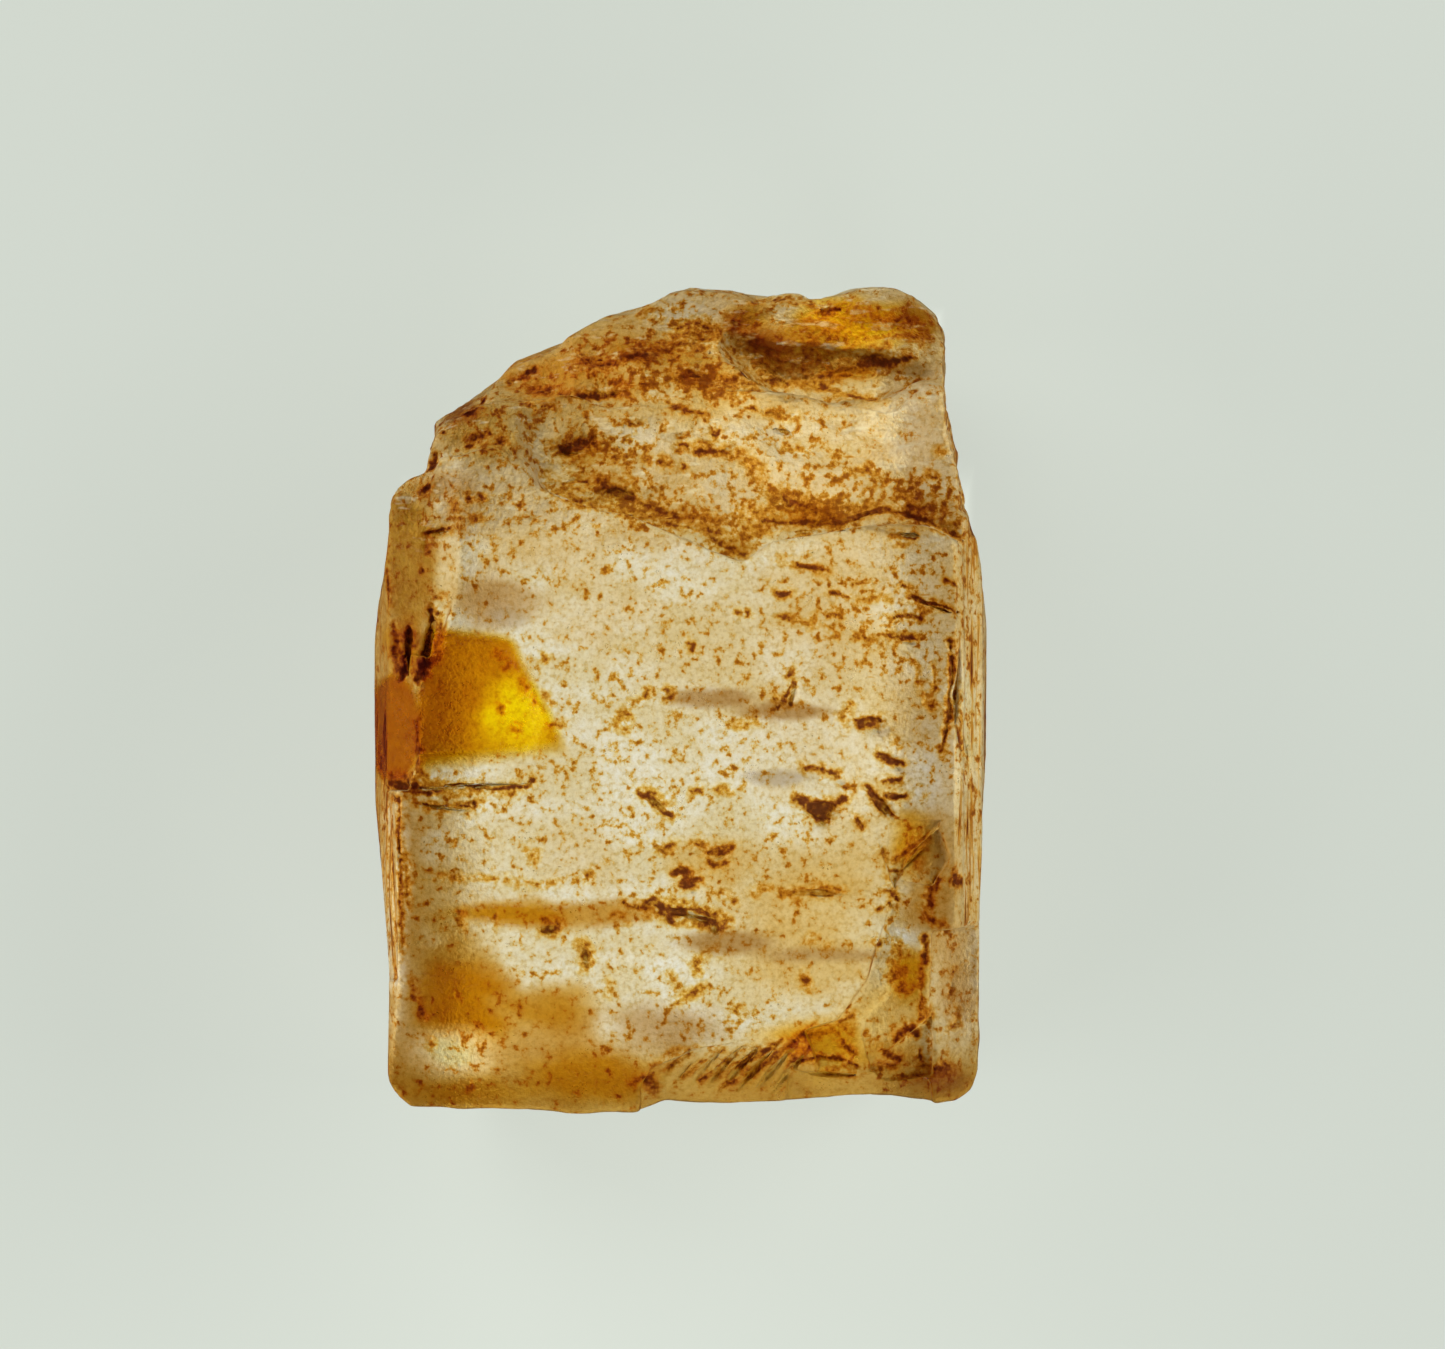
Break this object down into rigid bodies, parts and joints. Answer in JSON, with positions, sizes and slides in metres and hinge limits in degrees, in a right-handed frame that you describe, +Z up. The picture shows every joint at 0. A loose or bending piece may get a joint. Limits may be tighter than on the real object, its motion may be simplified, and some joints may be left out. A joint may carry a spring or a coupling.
{
  "type": "rough topaz crystal",
  "caption": "Rough imperial topaz crystal: a stubby honey-coloured prism lying on a prism face, with flat basal cleavage, ribbed flanks and a worn, stepped end.",
  "frame": {"origin": "on the ground under the middle of the crystal's bounding box", "axes": "+Z up, out of the broad front prism face; +Y along the crystal's c-axis, from the flat basal cleavage to the worn end; +X across the front face"},
  "size_m": [0.0204, 0.0274, 0.0115],
  "materials": {
    "topaz": "translucent honey to peach crystal, etched and frosted, with rust-brown iron stains in pits and cracks and a clear yellow window"
  },
  "bodies": {
    "root": {"topaz_crystal": "topaz"}
  },
  "joints": []
}
